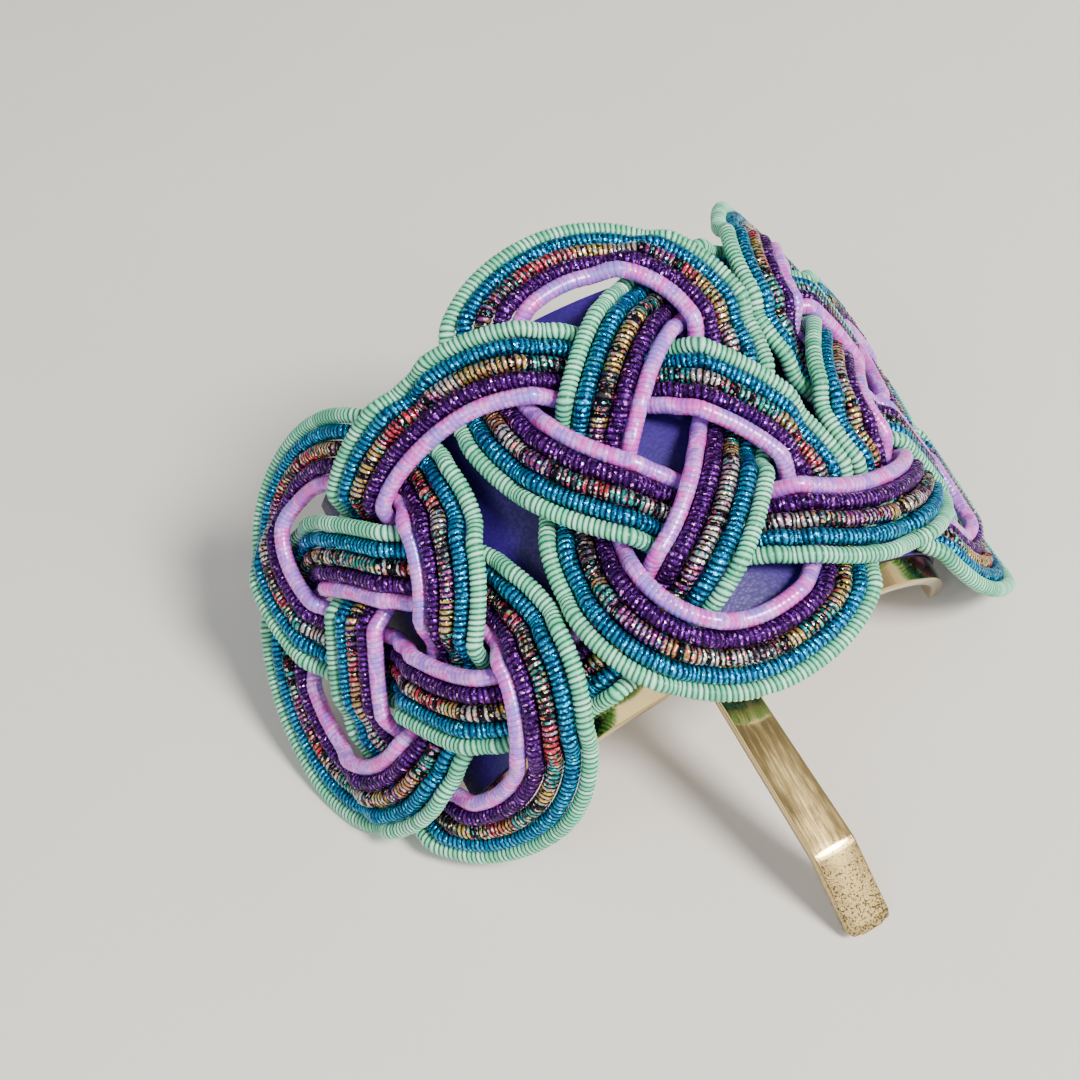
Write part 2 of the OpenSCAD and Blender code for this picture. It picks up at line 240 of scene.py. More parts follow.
def wound_cord(name, side, sizes, rings, groove, node):
    """One closed cord whose wrapping runs round it as a screw, so each rib follows the mesh."""
    middle, out, across, reached = cord_line(side, sizes.spacing / MM)
    length = reached[-1]
    ribs = round(length / (sizes.rib_width / MM))
    count, sides = ribs * rings, sizes.sides
    j, k = np.meshgrid(np.arange(count), np.arange(sides), indexing="ij")
    at = ((j + rings * k / sides) / count * length) % length

    def read(table):
        closed = np.vstack([table, table[:1]])
        return np.stack([np.interp(at, reached, closed[:, n]) for n in range(3)], axis=-1)

    # the seam of the screw lies on the under side, where the plate hides it
    angle = 2 * math.pi * k / sides + math.pi
    radius = sizes.diameter / MM / 2
    swell = np.abs(np.sin(math.pi * (j % rings) / rings)) ** RIB_ROUNDNESS
    chance = np.random.default_rng(WRAP_SEED + side)
    uneven = chance.normal(0, 1, ribs)[(j // rings) % ribs]
    size = radius - groove / MM * (1 - swell) * (1 + GROOVE_VARIES * uneven)
    size = size + RIB_VARIES * uneven * swell
    flat_out = np.cos(angle)[..., None] * read(out) + np.sin(angle)[..., None] * read(across)
    points = (read(middle) + size[..., None] * flat_out).reshape(-1, 3)

    here_j, here_k = j.ravel(), k.ravel()
    next_k = (here_k + 1) % sides
    next_j = np.where(here_k + 1 == sides, here_j + rings, here_j)
    a = here_j * sides + here_k
    b = (next_j % count) * sides + next_k
    c = ((next_j + 1) % count) * sides + next_k
    d = ((here_j + 1) % count) * sides + here_k
    faces = np.stack([a, b, c, d], axis=1)
    obj = piece_from(name, points, faces.tolist(), [node])
    mesh = obj.data

    # the cord drawn straight: length along it, and the place on its round section, in millimetres
    straight = np.stack([at, np.cos(angle) * radius, np.sin(angle) * radius], axis=-1)
    layer = mesh.attributes.new("straight", "FLOAT_VECTOR", "POINT")
    layer.data.foreach_set("vector", straight.reshape(-1).astype(np.float32))
    layer = mesh.attributes.new("crest", "FLOAT", "POINT")
    layer.data.foreach_set("value", swell.ravel().astype(np.float32))
    # the wrapping's turn, counted along the cord, kept for each face's corners so it doesn't jump
    turn = np.stack([here_j, here_j, here_j + 1, here_j + 1], axis=1) / rings
    layer = mesh.attributes.new("turn", "FLOAT", "CORNER")
    layer.data.foreach_set("value", turn.ravel().astype(np.float32))
    lay_out_map(mesh, here_j, here_k, rings, count, sides, length, sizes.diameter / MM)
    return obj


def lay_out_map(mesh, here_j, here_k, rings, count, sides, length, diameter):
    """A map of the cord's skin cut into rows of equal length."""
    rows = max(1, round(math.sqrt(length / (math.pi * diameter))))
    shift = rings * here_k / sides
    row = np.floor(here_j / count * rows)
    start = here_j / count * rows - row
    step = rows / count
    room = 1.02 + rings * rows / count
    # a little of each row's height stays free on both sides
    free = 0.03
    u0 = (start + shift * step) / room
    u1 = (start + (shift + rings / sides) * step) / room
    v0 = (row + free + (1 - 2 * free) * here_k / sides) / rows
    v1 = (row + free + (1 - 2 * free) * (here_k + 1) / sides) / rows
    wide = step / room
    corners = np.stack([
        np.stack([u0, v0], axis=1), np.stack([u1, v1], axis=1),
        np.stack([u1 + wide, v1], axis=1), np.stack([u0 + wide, v0], axis=1),
    ], axis=1)
    layer = mesh.uv_layers.new(name="OFBake")
    layer.uv.foreach_set("vector", corners.reshape(-1).astype(np.float32))


# a corner radius too small to draw, and the longest straight step along the bar, in millimetres
LEAST_CORNER, BAR_STEP = 1e-4, 0.6


def strap(path, outs, side_way, widths, thicks, corner, arc_steps=4):
    """A strip of rounded section swept along a path; outs point through its thickness."""
    section = []
    for cx, cy, a0 in ((1, 1, 0), (-1, 1, 90), (-1, -1, 180), (1, -1, 270)):
        for n in range(arc_steps + 1):
            section.append((cx, cy, math.radians(a0 + 90 * n / arc_steps)))
    # the two ends are rounded over by rings that draw in
    path, outs = np.asarray(path, float), np.asarray(outs, float)
    ways = np.gradient(path, axis=0)
    ways /= np.linalg.norm(ways, axis=1)[:, None]
    rings = []
    for end, sign in ((0, 1), (len(path) - 1, -1)):
        group = []
        for n in range(arc_steps + 1):
            a = math.pi / 2 * n / arc_steps
            draw, push = corner * (1 - math.sin(a)), corner * (1 - math.cos(a))
            place = path[end] + sign * ways[end] * push
            wide, thick = widths[end] - 2 * draw, thicks[end] - 2 * draw
            group.append((place, outs[end], wide, thick, corner - draw))
        rings.append(group)
    # only stations clear of the rounded ends stay between them
    inner = [
        (path[n], outs[n], widths[n], thicks[n], corner) for n in range(1, len(path) - 1)
        if np.linalg.norm(path[n] - path[0]) > corner and np.linalg.norm(path[n] - path[-1]) > corner
    ]
    stations = rings[0] + inner + rings[1][::-1]
    side_way = np.asarray(side_way, float)
    points = []
    for at, out, w, t, r in stations:
        r = max(r, LEAST_CORNER)
        for cx, cy, a in section:
            x = cx * (w / 2 - r) + r * math.cos(a)
            y = cy * (t / 2 - r) + r * math.sin(a)
            points.append(at + x * side_way + y * out)
    m = len(section)
    faces = []
    for s in range(len(stations) - 1):
        for n in range(m):
            faces.append((s * m + n, s * m + (n + 1) % m, (s + 1) * m + (n + 1) % m, (s + 1) * m + n))
    faces.append(tuple(range(m))[::-1])
    faces.append(tuple((len(stations) - 1) * m + n for n in range(m)))
    return points, faces


def rounded_line(corners, radius, steps=14):
    """The points of a line in the y-z plane whose inner corners are rounded."""
    corners = [np.array(c, float) for c in corners]
    line = [corners[0]]
    for before, at, after in zip(corners, corners[1:], corners[2:]):
        a, b = before - at, after - at
        a, b = a / np.linalg.norm(a), b / np.linalg.norm(b)
        half = math.acos(np.clip(a @ b, -1, 1)) / 2
        cut = radius / math.tan(half)
        middle = at + (a + b) / np.linalg.norm(a + b) * radius / math.sin(half)
        start, end = at + a * cut, at + b * cut
        swept = math.pi - 2 * half
        for n in range(steps + 1):
            f = n / steps
            x = (start - middle) * math.sin((1 - f) * swept) + (end - middle) * math.sin(f * swept)
            line.append(middle + x / math.sin(swept))
    line.append(corners[-1])
    # long straight lengths get points too, so that the finish has faces to lie on
    full = []
    for a, b in zip(line, line[1:]):
        parts = max(1, int(np.linalg.norm(b - a) / BAR_STEP))
        full += [a + (b - a) * n / parts for n in range(parts)]
    full.append(line[-1])
    return np.array(full)


def arc_strap(radius, thick, low, top, half_angle, corner, steps):
    """A bent sheet about the y axis with rounded edges."""
    a = np.radians(np.linspace(-half_angle, half_angle, steps))
    outs = np.stack([np.sin(a), np.zeros(steps), np.cos(a)], axis=1)
    path = outs * (radius - thick / 2)
    path[:, 1] = (low + top) / 2
    return strap(path, outs, (0, 1, 0), [top - low] * steps, [thick] * steps, corner)


class Nodes:
    """Short ways to add and join the nodes of one material."""

    def __init__(self, name):
        self.material = bpy.data.materials.new(name)
        self.material.use_nodes = True
        self.tree = self.material.node_tree
        self.shader = self.tree.nodes["Principled BSDF"]

    def add(self, kind, **values):
        node = self.tree.nodes.new("ShaderNode" + kind)
        for key, value in values.items():
            setattr(node, key, value)
        return node

    def join(self, source, target):
        self.tree.links.new(source, target)

    def value(self, node, names):
        for name, value in names.items():
            if hasattr(value, "is_output"):
                self.join(value, node.inputs[name])
            else:
                node.inputs[name].default_value = value
        return node

    def attribute(self, name, output):
        return self.add("Attribute", attribute_name=name).outputs[output]

    def math(self, operation, *inputs, clamp=False):
        node = self.add("Math", operation=operation, use_clamp=clamp)
        for n, value in enumerate(inputs):
            self.value(node, {n: value})
        return node.outputs[0]

    def noise(self, vector, scale, detail=3, roughness=0.5, output="Fac"):
        node = self.add("TexNoise")
        self.value(node, {"Vector": vector, "Scale": scale, "Detail": detail, "Roughness": roughness})
        return node.outputs[output]

    def mix(self, factor, a, b, blend="MIX"):
        node = self.add("Mix", data_type="RGBA", blend_type=blend)
        for index, value in ((0, factor), (6, a), (7, b)):
            self.value(node, {index: value})
        return node.outputs[2]

    def stretch(self, vector, scale):
        node = self.add("Mapping")
        self.value(node, {"Vector": vector, "Scale": scale})
        return node.outputs[0]

    def ramp(self, factor, stops, interpolation="LINEAR"):
        node = self.add("ValToRGB")
        ramp = node.color_ramp
        ramp.interpolation = interpolation
        while len(ramp.elements) < len(stops):
            ramp.elements.new(0.5)
        for element, (place, colour) in zip(ramp.elements, stops):
            element.position, element.color = place, colour
        self.join(factor, node.inputs[0])
        return node.outputs[0]

    def range(self, value, low, high, new_low=0.0, new_high=1.0):
        node = self.add("MapRange")
        self.value(node, {0: value, 1: low, 2: high, 3: new_low, 4: new_high})
        return node.outputs[0]

    def bump(self, height, strength, distance, normal=None):
        node = self.add("Bump")
        self.value(node, {"Height": height, "Strength": strength, "Distance": distance})
        if normal is not None:
            self.join(normal, node.inputs["Normal"])
        return node.outputs[0]


def shaded(colour, factor):
    """A colour made darker or lighter by a factor, as four numbers."""
    return tuple(min(1.0, c * factor) for c in colour[:3]) + (1.0,)


def cord_finish(name, wrap, groove, painted_glints, metal, rough, uneven, sparkle, colours=None):
    """Wrapping for one cord: painted shade darkens the grooves between the ribs, the ribs are lighter, and
    glittering flecks carry painted glints.

    uneven says how far single turns go towards the first painted glint colour, and sparkle is the share of
    flecks that take a painted glint colour.
    """
    n = Nodes(name)
    straight = n.attribute("straight", "Vector")
    crest = n.attribute("crest", "Fac")
    # each turn of the wrapping is a little lighter or darker than the next
    each = n.add("TexWhiteNoise", noise_dimensions="1D")
    n.join(n.math("FLOOR", n.attribute("turn", "Fac")), each.inputs["W"])
    chance = each.outputs["Value"]
    if colours:
        # lengths of a few millimetres in turn take one of several colours
        along = n.add("SeparateXYZ")
        n.join(straight, along.inputs[0])
        blurred = n.math("ADD", along.outputs["X"], n.math("MULTIPLY", n.math("SUBTRACT", chance, 0.5), 0.7))
        lengths = n.add("TexVoronoi", voronoi_dimensions="1D")
        n.value(lengths, {"W": blurred, "Scale": 0.55})
        chosen = n.add("SeparateColor")
        n.join(lengths.outputs["Color"], chosen.inputs[0])
        body = n.ramp(chosen.outputs[0], colours, "CONSTANT")
        # some turns between them stay black
        body = n.mix(n.range(chance, 0.80, 0.84), body, groove)
    else:
        slow = n.noise(n.stretch(straight, (0.35, 0.6, 0.6)), 1.0)
        body = n.ramp(slow, [(0.35, shaded(wrap, 0.75)), (0.62, shaded(wrap, 1.2))])
        # single turns are lightened at random towards the first painted glint colour: partly the wrapping's
        # uneven tone, partly painted highlight
        body = n.mix(n.range(n.math("POWER", chance, 1.6), 0, 1, 0, uneven), body, painted_glints[0][1])
    normal = None
    if sparkle > 0:
        cells = n.add("TexVoronoi")
        n.value(cells, {"Vector": n.stretch(straight, (9.5, 6.5, 6.5)), "Scale": 1.0, "Randomness": 1.0})
        parts = n.add("SeparateColor")
        n.join(cells.outputs["Color"], parts.inputs[0])
        # painted sparkle: each fleck is made brighter or darker at random
        body = n.mix(1.0, body, n.range(parts.outputs[1], 0.0, 0.6, 0.35, 1.15), "MULTIPLY")
        # some flecks take one of the painted glint colours
        painted_glint = n.ramp(n.range(parts.outputs[0], 1 - sparkle, 1), painted_glints, "CONSTANT")
        body = n.mix(n.range(parts.outputs[0], 1 - sparkle, 1.04 - sparkle), body, painted_glint)
        own = n.range(parts.outputs[2], 0, 1, rough * 0.6, min(1, rough * 1.6))
        n.join(own, n.shader.inputs["Roughness"])
        # every fleck lies at its own small angle and catches the light by itself
        off = n.add("VectorMath", operation="SUBTRACT")
        n.value(off, {0: cells.outputs["Color"], 1: (0.5, 0.5, 0.5)})
        tilt = n.add("VectorMath", operation="SCALE")
        n.value(tilt, {0: off.outputs[0], "Scale": 0.75})
        turned = n.add("VectorMath", operation="ADD")
        n.value(turned, {0: tilt.outputs[0], 1: n.add("NewGeometry").outputs["Normal"]})
        unit = n.add("VectorMath", operation="NORMALIZE")
        n.value(unit, {0: turned.outputs[0]})
        normal = unit.outputs[0]
    else:
        n.join(n.range(chance, 0, 1, rough * 0.8, rough * 1.25), n.shader.inputs["Roughness"])
    # painted shade: towards the grooves between the ribs the colour goes over to the dark groove colour
    groove_shade_share = n.range(n.math("POWER", crest, 2.0), 0.1, 0.9)
    n.join(n.mix(groove_shade_share, groove, body), n.shader.inputs["Base Color"])
    n.shader.inputs["Metallic"].default_value = metal
    n.shader.inputs["Specular IOR Level"].default_value = 0.35
    fibre = n.noise(n.stretch(straight, (26, 3.0, 3.0)), 1.0, 2)
    n.join(n.bump(fibre, 0.4, 0.00003, normal), n.shader.inputs["Normal"])
    return n


def pearl_finish(name, pink, lilac, pale, sky):
    """The innermost cord: smooth pearly film whose hue wanders between pink, lilac and pale blue."""
    n = Nodes(name)
    straight = n.attribute("straight", "Vector")
    crest = n.attribute("crest", "Fac")
    each = n.add("TexWhiteNoise", noise_dimensions="1D")
    n.join(n.math("FLOOR", n.attribute("turn", "Fac")), each.inputs["W"])
    wander = n.noise(n.stretch(straight, (0.6, 0.9, 0.9)), 1.0, 3, 0.6)
    mixed = n.math("ADD", wander, n.math("MULTIPLY", n.math("SUBTRACT", each.outputs["Value"], 0.5), 0.10))
    film = n.ramp(mixed, [(0.33, sky), (0.42, lilac), (0.49, pale), (0.57, pink), (0.67, lilac)])
    streak = n.noise(n.stretch(straight, (11, 1.4, 1.4)), 1.0, 2)
    film = n.mix(n.range(streak, 0.5, 0.75, 0, 0.3), film, pale)
    # painted shade: the film is darkened in the grooves between the ribs
    between = n.mix(1.0, film, (0.70, 0.55, 0.74, 1), "MULTIPLY")
    n.join(n.mix(n.range(crest, 0, 0.7), between, film), n.shader.inputs["Base Color"])
    n.shader.inputs["Metallic"].default_value = 0.15
    n.shader.inputs["Coat Weight"].default_value = 0.3
    n.shader.inputs["Coat Roughness"].default_value = 0.2
    n.join(n.range(streak, 0.3, 0.7, 0.22, 0.38), n.shader.inputs["Roughness"])
    n.join(n.bump(streak, 0.25, 0.00002), n.shader.inputs["Normal"])
    return n


def gold_finish(name, gold, worn):
    """Thin gold plating: polished, with fine draw lines, cloudy wear and dark specks towards the tip."""
    n = Nodes(name)
    place = n.add("TexCoord").outputs["Object"]
    along = n.add("SeparateXYZ")
    n.join(place, along.inputs[0])
    tip = n.range(along.outputs["Y"], -0.0158, -0.0196)
    cloud = n.noise(n.stretch(place, (260, 260, 260)), 1.0, 4)
    lines = n.noise(n.stretch(place, (6500, 420, 900)), 1.0, 3)
    grains = n.add("TexVoronoi")
    n.value(grains, {"Vector": n.stretch(place, (12500, 12500, 12500)), "Scale": 1.0})
    parts = n.add("SeparateColor")
    n.join(grains.outputs["Color"], parts.inputs[0])
    # dark specks, more of them towards the tip
    dark_specks = n.range(n.math("ADD", parts.outputs[0], n.math("MULTIPLY", tip, 0.42)), 1.0, 1.03, 0, 0.9)
    tone = n.mix(n.range(cloud, 0.4, 0.7, 0, 0.7), gold, worn)
    n.join(n.mix(dark_specks, tone, shaded(worn, 0.16)), n.shader.inputs["Base Color"])
    n.shader.inputs["Metallic"].default_value = 1.0
    rough = n.math("ADD", n.range(cloud, 0.35, 0.7, 0.09, 0.17), n.range(lines, 0.4, 0.7, 0, 0.06))
    n.join(n.math("ADD", rough, n.math("MULTIPLY", tip, 0.16)), n.shader.inputs["Roughness"])
    fine = n.bump(lines, 0.15, 0.00001)
    n.join(n.bump(parts.outputs[1], n.math("MULTIPLY", tip, 0.5), 0.00002, fine), n.shader.inputs["Normal"])
    return n


def covering_finish(name, navy, painted_sheen):
    """Thin navy leather cloth with a fine pebbled grain, painted shade in the grain's creases and a painted
    sheen in cloudy patches.
    """
    n = Nodes(name)
    place = n.add("TexCoord").outputs["Object"]
    grain = n.add("TexVoronoi", feature="SMOOTH_F1")
    n.value(grain, {"Vector": n.stretch(place, (5200, 5200, 5200)), "Scale": 1.0, "Smoothness": 0.4})
    cloud = n.noise(n.stretch(place, (300, 300, 300)), 1.0, 3)
    # painted sheen: a lighter violet put in cloudy patches
    tone = n.mix(n.range(cloud, 0.35, 0.7, 0, 0.6), navy, painted_sheen)
    # painted shade darkens the creases of the grain
    crease_shade = n.range(grain.outputs["Distance"], 0.3, 0.7, 0, 0.5)
    n.join(n.mix(crease_shade, tone, shaded(navy, 0.5)), n.shader.inputs["Base Color"])
    n.join(n.range(grain.outputs["Distance"], 0.1, 0.7, 0.34, 0.52), n.shader.inputs["Roughness"])
    n.shader.inputs["Specular IOR Level"].default_value = 0.32
    n.join(n.bump(grain.outputs["Distance"], 0.35, 0.00003), n.shader.inputs["Normal"])
    return n


def floor_finish(name, colour):
    """Plain pale matt floor with a hardly visible unevenness."""
    n = Nodes(name)
    place = n.add("TexCoord").outputs["Object"]
    cloud = n.noise(n.stretch(place, (40, 40, 40)), 1.0, 3)
    tone = n.mix(n.range(cloud, 0.3, 0.7, 0, 1), colour, shaded(colour, 0.965))
    n.join(tone, n.shader.inputs["Base Color"])
    n.join(n.range(cloud, 0.3, 0.7, 0.72, 0.8), n.shader.inputs["Roughness"])
    return n


def colour_property(name, description, default):
    """A colour for a group of sizes and colours."""
    return FloatVectorProperty(
        name=name, description=description, default=default, size=4, min=0, max=1, subtype="COLOR"
    )


def length_property(name, description, default):
    """A length in metres for a group of sizes and colours."""
    return FloatProperty(name=name, description=description, default=default, unit="LENGTH")


def power_property(name, description, default):
    """A lamp's power in watts."""
    return FloatProperty(name=name, description=description, default=default, unit="POWER")


class PONYHOOK_PG_cords(PropertyGroup):
    """Sizes and colours of the five cords."""

    diameter: length_property("Diameter", "Thickness of one wrapped cord", 0.00095)
    spacing: length_property("Spacing", "Distance from one cord of the band to the next", 0.00096)
    rib_width: length_property("Rib width", "Length of cord covered by one turn of the wrapping", 0.0003)
    rib_depth: length_property("Rib depth", "Depth of the groove between two turns", 0.00007)
    pearl_depth: length_property(
        "Pearl rib depth", "Depth of the groove on the smooth innermost cord", 0.00002
    )
    sides: IntProperty(name="Sides", description="Faces around one cord", default=10, min=6, max=12)
    mint: colour_property("Mint", "Outermost cord", (0.13, 0.60, 0.35, 1))
    blue: colour_property("Blue", "Second cord, blue glitter", (0.0, 0.20, 0.44, 1))
    purple: colour_property("Purple", "Fourth cord, violet glitter", (0.070, 0.003, 0.15, 1))
    pink: colour_property("Pink", "Pink of the pearly cord", (0.76, 0.07, 0.52, 1))
    lilac: colour_property("Lilac", "Lilac of the pearly cord", (0.42, 0.12, 0.68, 1))


class PONYHOOK_PG_hook(PropertyGroup):
    """Sizes and colours of the gold plate, its bar and the covering."""

    plate_radius: length_property("Plate radius", "Outer radius of the curved plate", 0.0159)
    plate_thickness: length_property("Plate thickness", "Thickness of the plate", 0.0008)
    bar_width: length_property("Bar width", "Width of the flat bar behind the plate", 0.00218)
    tip_width: length_property("Tip width", "Width of the flat bar at its tip", 0.0026)
    bar_lean: FloatProperty(
        name="Bar lean", description="Angle of the bar from the plate's axis",
        default=math.radians(1.95), subtype="ANGLE",
    )
    bar_thickness: length_property("Bar thickness", "Thickness of the flat bar", 0.0008)
    edge: length_property("Edge rounding", "Radius of the worn edges", 0.00012)
    gold: colour_property("Gold", "Gold plating", (0.60, 0.43, 0.18, 1))
    worn: colour_property("Worn gold", "Duller patches of the plating", (0.46, 0.34, 0.15, 1))
    navy: colour_property("Navy", "Covering of the plate", (0.018, 0.004, 0.13, 1))
    # painted sheen of the covering
    painted_sheen: colour_property("Navy sheen", "Lighter tone of the covering", (0.050, 0.014, 0.27, 1))


class PONYHOOK_PG_stage(PropertyGroup):
    """The floor and the lights."""

    floor: colour_property("Floor", "Plain pale floor", (0.78, 0.75, 0.70, 1))
    key_power: power_property("Key light", "Power of the light in front on the right", 5.2)
    fill_power: power_property("Fill light", "Power of the soft light on the left", 1.2)
    low_power: power_property("Low light", "Power of the low light in front", 1.0)
    sky: FloatProperty(name="Sky", description="Strength of the even light near the floor", default=0.6)


class PONYHOOK_OT_cords(Operator):
    """Make the five wrapped cords of the three knots"""

    bl_idname = "ponyhook.cords"
    bl_label = "Five cords"

    def execute(self, context):
        s = context.scene.ponyhook_cords
        # pale mint of the lighter turns: partly the cord's own tone, partly painted highlight
        pale_mint_tone_and_highlight = [(0, (0.58, 0.98, 0.78, 1))]
        # painted shade for the grooves between the mint ribs
        mint_groove_shade = (0.012, 0.13, 0.07, 1)
        mint = cord_finish(
            "mint_wrapping", tuple(s.mint), mint_groove_shade, pale_mint_tone_and_highlight, metal=0, rough=0.34, uneven=0.75, sparkle=0
        )
        # painted glints of the blue flecks
        painted_cyan_glints = [(0, (0.0, 0.56, 0.92, 1)), (0.75, (0.18, 0.85, 1.0, 1))]
        # painted shade for the grooves between the blue ribs
        blue_groove_shade = (0.0, 0.02, 0.08, 1)
        blue = cord_finish(
            "blue_glitter", tuple(s.blue), blue_groove_shade, painted_cyan_glints, metal=0.88, rough=0.30, uneven=0.5, sparkle=0.24
        )
        # share of the lengths at which each colour of the wrapping starts, then the same for its flecks,
        # whose colours are partly the glitter's own and partly painted glints
        lengths = [
            (0.0, (0.08, 0.08, 0.09, 1)), (0.12, (0.90, 0.60, 0.14, 1)), (0.28, (0.86, 0.05, 0.10, 1)),
            (0.41, (0.78, 0.70, 0.68, 1)), (0.60, (0.02, 0.42, 0.38, 1)), (0.79, (0.36, 0.06, 0.38, 1)),
            (0.89, (0.72, 0.34, 0.12, 1)),
        ]
        mixed = [
            (0, (0.01, 0.006, 0.015, 1)), (0.26, (0.95, 0.90, 0.86, 1)), (0.48, (0.98, 0.68, 0.18, 1)),
            (0.64, (0.03, 0.55, 0.52, 1)), (0.80, (0.90, 0.06, 0.14, 1)), (0.91, (0.85, 0.28, 0.72, 1)),
        ]
        black = (0.006, 0.003, 0.009, 1)
        multi = cord_finish(
            "many_coloured_glitter", black, black, mixed,
            metal=0.8, rough=0.28, uneven=0, sparkle=0.42, colours=lengths,
        )
        # painted glints of the purple flecks, some of them dark
        painted_violet_glints = [(0, (0.30, 0.03, 0.62, 1)), (0.4, (0.012, 0.002, 0.03, 1)), (0.78, (0.85, 0.30, 0.95, 1))]
        # painted shade for the grooves between the purple ribs
        violet_groove_shade = (0.010, 0.001, 0.026, 1)
        purple = cord_finish(
            "purple_glitter", tuple(s.purple), violet_groove_shade, painted_violet_glints,
            metal=0.8, rough=0.30, uneven=0.22, sparkle=0.36,
        )
        pale, sky = (0.64, 0.32, 0.86, 1), (0.28, 0.20, 0.74, 1)
        pearl = pearl_finish("pearl_film", tuple(s.pink), tuple(s.lilac), pale, sky)
        # name, place in the band, rings per rib, depth of the grooves, node, finish
        made = [
            ("mint_outer_cord", -2, 5, s.rib_depth, "mint_cord", mint),
            ("blue_glitter_cord", -1, 5, s.rib_depth, "blue_cord", blue),
            ("many_coloured_cord", 0, 5, 0.85 * s.rib_depth, "multi_cord", multi),
            ("purple_glitter_cord", 1, 5, 0.65 * s.rib_depth, "purple_cord", purple),
            ("pearly_inner_cord", 2, 4, s.pearl_depth, "lavender_cord", pearl),
        ]
        for name, side, rings, depth, node, finish in made:
            cord = wound_cord(name, side, s, rings, depth, node)
            cord.data.materials.append(finish.material)
        return {"FINISHED"}


class PONYHOOK_OT_cuff_hook(Operator):
    """Make the curved gold plate with its flat hooked bar"""

    bl_idname = "ponyhook.cuff_hook"
    bl_label = "Gold plate and bar"

    def execute(self, context):
        s = context.scene.ponyhook_hook
        r, t, edge = s.plate_radius / MM, s.plate_thickness / MM, s.edge / MM
        plate = arc_strap(r, t, PLATE_LOW, PLATE_TOP, PLATE_HALF_ANGLE, edge, SHEET_STEPS)
        # the bar has its left side at x = 0 until it is leaned and moved to its place
        line = rounded_line(BAR_LINE, BEND_RADIUS)
        ways = np.gradient(line, axis=0)
        ways /= np.linalg.norm(ways, axis=1)[:, None]
        zero = np.zeros(len(line))
        wide = np.interp(-line[:, 0], WIDENS, (s.bar_width / MM, s.tip_width / MM))
        path = np.stack([wide / 2, line[:, 0], line[:, 1]], axis=1)
        outs = np.stack([zero, ways[:, 1], -ways[:, 0]], axis=1)
        path, outs, widths = self.round_tip(path, outs, wide, TIP_CORNER)
        points, faces = strap(path, outs, (1, 0, 0), widths, [s.bar_thickness / MM] * len(path), edge)
        lean = np.array(Matrix.Rotation(s.bar_lean, 3, "Z"))
        bar = np.array(points) @ lean.T + np.array([BAR_LEFT, 0, 0]), faces
        made = []
        for points, faces in (plate, bar):
            mesh = bpy.data.meshes.new("shape")
            mesh.from_pydata(lay_down(np.asarray(points)).tolist(), [], faces)
            made.append(bpy.data.objects.new("shape", mesh))
            context.scene.collection.objects.link(made[-1])
        joined = self.soldered(context, *made)
        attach(joined, "root")
        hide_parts("cuff_hook")
        joined.data.materials.clear()
        joined.data.materials.append(gold_finish("gold_plating", tuple(s.gold), tuple(s.worn)).material)
        return {"FINISHED"}

    def round_tip(self, path, outs, wide, corner):
        """More stations near the free end, where the bar's width draws in round its corners."""
        end, before = path[-1], path[-2]
        way = (end - before) / np.linalg.norm(end - before)
        keep = np.linalg.norm(path - end, axis=1) > corner
        turns = np.radians(np.linspace(0, 90, 9))
        extra = [end - way * corner * (1 - math.sin(a)) for a in turns]
        widths = list(wide[keep]) + [wide[-1] - 2 * corner * (1 - math.cos(a)) for a in turns]
        return np.vstack([path[keep], extra]), np.vstack([outs[keep], [outs[-1]] * len(extra)]), widths

    def soldered(self, context, plate, bar):
        """The two shapes as one closed skin."""
        face_outwards(plate.data)
        face_outwards(bar.data)
        union = plate.modifiers.new("solder", "BOOLEAN")
        union.operation, union.solver, union.object = "UNION", "EXACT", bar
        shape = bpy.data.meshes.new_from_object(plate.evaluated_get(context.evaluated_depsgraph_get()))
        if len(shape.polygons) < len(plate.data.polygons):
            raise RuntimeError("the plate and the bar did not join")
        for o in (plate, bar):
            bpy.data.objects.remove(o)
        joined = bpy.data.objects.new("gold_plate_and_bar", shape)
        context.scene.collection.objects.link(joined)
        shape.shade_smooth()
        shape.set_sharp_from_angle(angle=math.radians(40))
        return joined


class PONYHOOK_OT_covering(Operator):
    """Make the navy covering of the plate"""

    bl_idname = "ponyhook.covering"
    bl_label = "Navy covering"

    def execute(self, context):
        s = context.scene.ponyhook_hook
        radius = s.plate_radius / MM + COVER_OVER
        points, faces = arc_strap(
            radius, COVER_THICK, COVER_LOW, PLATE_TOP, COVER_HALF_ANGLE, COVER_EDGE, SHEET_STEPS
        )
        cover = piece_from("navy_leather_covering", points, faces, ["covering"])
        face_outwards(cover.data)
        cover.data.materials.append(covering_finish("navy_leather", tuple(s.navy), tuple(s.painted_sheen)).material)
        return {"FINISHED"}


